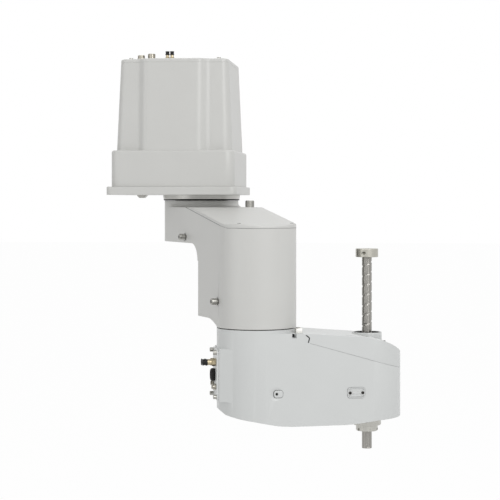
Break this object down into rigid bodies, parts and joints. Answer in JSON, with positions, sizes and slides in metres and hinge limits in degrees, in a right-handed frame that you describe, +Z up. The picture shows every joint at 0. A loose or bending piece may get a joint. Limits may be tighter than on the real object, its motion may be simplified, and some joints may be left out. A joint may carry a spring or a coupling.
{
  "type": "ceiling-mounted SCARA robot",
  "caption": "Ceiling-mounted four-axis SCARA robot: box base, stepped inner arm, outer arm with connector panel, and a lifting, turning spindle.",
  "frame": {"origin": "where the shoulder axis meets the mounting plane, the flat top of the broad block at the foot of the base", "axes": "+Z up along the shoulder axis, +X to the front of the base"},
  "size_m": [0.6228, 0.509, 0.8205],
  "materials": {
    "warm_grey_paint": "semi-gloss powder coat on cast aluminium",
    "cool_grey_paint": "semi-gloss powder coat on cast aluminium",
    "bearing_steel": "turned steel",
    "ground_steel": "ground and hardened",
    "zinc_plated_steel": "zinc plated",
    "nickel_plate": "matt nickel plate",
    "milled_aluminium": "milled",
    "brass_fitting": "nickel-washed brass",
    "black_plastic": "moulded"
  },
  "bodies": {
    "base": {"base_housing": "warm_grey_paint", "base_lid": "warm_grey_paint", "lid_screws": "zinc_plated_steel", "mounting_block": "warm_grey_paint", "base_flange": "warm_grey_paint", "shoulder_collar": "bearing_steel", "shoulder_drive": "bearing_steel", "shoulder_stop": "zinc_plated_steel", "power_connector": "nickel_plate", "signal_connector": "nickel_plate", "base_air_ports": "brass_fitting", "base_air_collars": "black_plastic"},
    "inner_arm": {"shoulder_hub": "warm_grey_paint", "inner_arm_casting": "warm_grey_paint", "inner_arm_cover": "warm_grey_paint", "shoulder_stop_bolt": "zinc_plated_steel", "inner_side_screws": "zinc_plated_steel", "elbow_drive": "bearing_steel"},
    "outer_arm": {"outer_arm_casting": "cool_grey_paint", "outer_arm_cover": "cool_grey_paint", "elbow_stop_block": "milled_aluminium", "elbow_stop_screws": "zinc_plated_steel", "spindle_boss": "cool_grey_paint", "rear_panel": "cool_grey_paint", "panel_screws": "zinc_plated_steel", "air_fittings": "brass_fitting", "air_collars": "black_plastic", "motor_socket": "black_plastic", "signal_sockets": "nickel_plate", "side_hatch": "cool_grey_paint", "hatch_screws": "zinc_plated_steel", "service_plug": "black_plastic", "nut_flange": "ground_steel"},
    "spline_nut": {"spline_nut": "ground_steel", "screw_nut": "ground_steel"},
    "spindle": {"spindle_shaft": "ground_steel", "spindle_collar": "milled_aluminium", "collar_screw": "zinc_plated_steel"}
  },
  "joints": [
    {"name": "shoulder", "type": "hinge", "parent": "base", "child": "inner_arm", "pos_m": [0, 0, -0.106], "axis": [0, 0, 1], "range_deg": [-162.6, 287.4]},
    {"name": "elbow", "type": "hinge", "parent": "inner_arm", "child": "outer_arm", "pos_m": [0.15057, -0.28802, -0.36], "axis": [0, 0, 1], "range_deg": [-301, 149]},
    {"name": "tool_turn", "type": "hinge", "parent": "outer_arm", "child": "spline_nut", "pos_m": [0.36926, -0.23511, -0.55], "axis": [0, 0, 1], "range_deg": [-720, 720]},
    {"name": "spindle_lift", "type": "slide", "parent": "spline_nut", "child": "spindle", "axis": [0, 0, 1], "range_m": [-0.18, 0]}
  ]
}
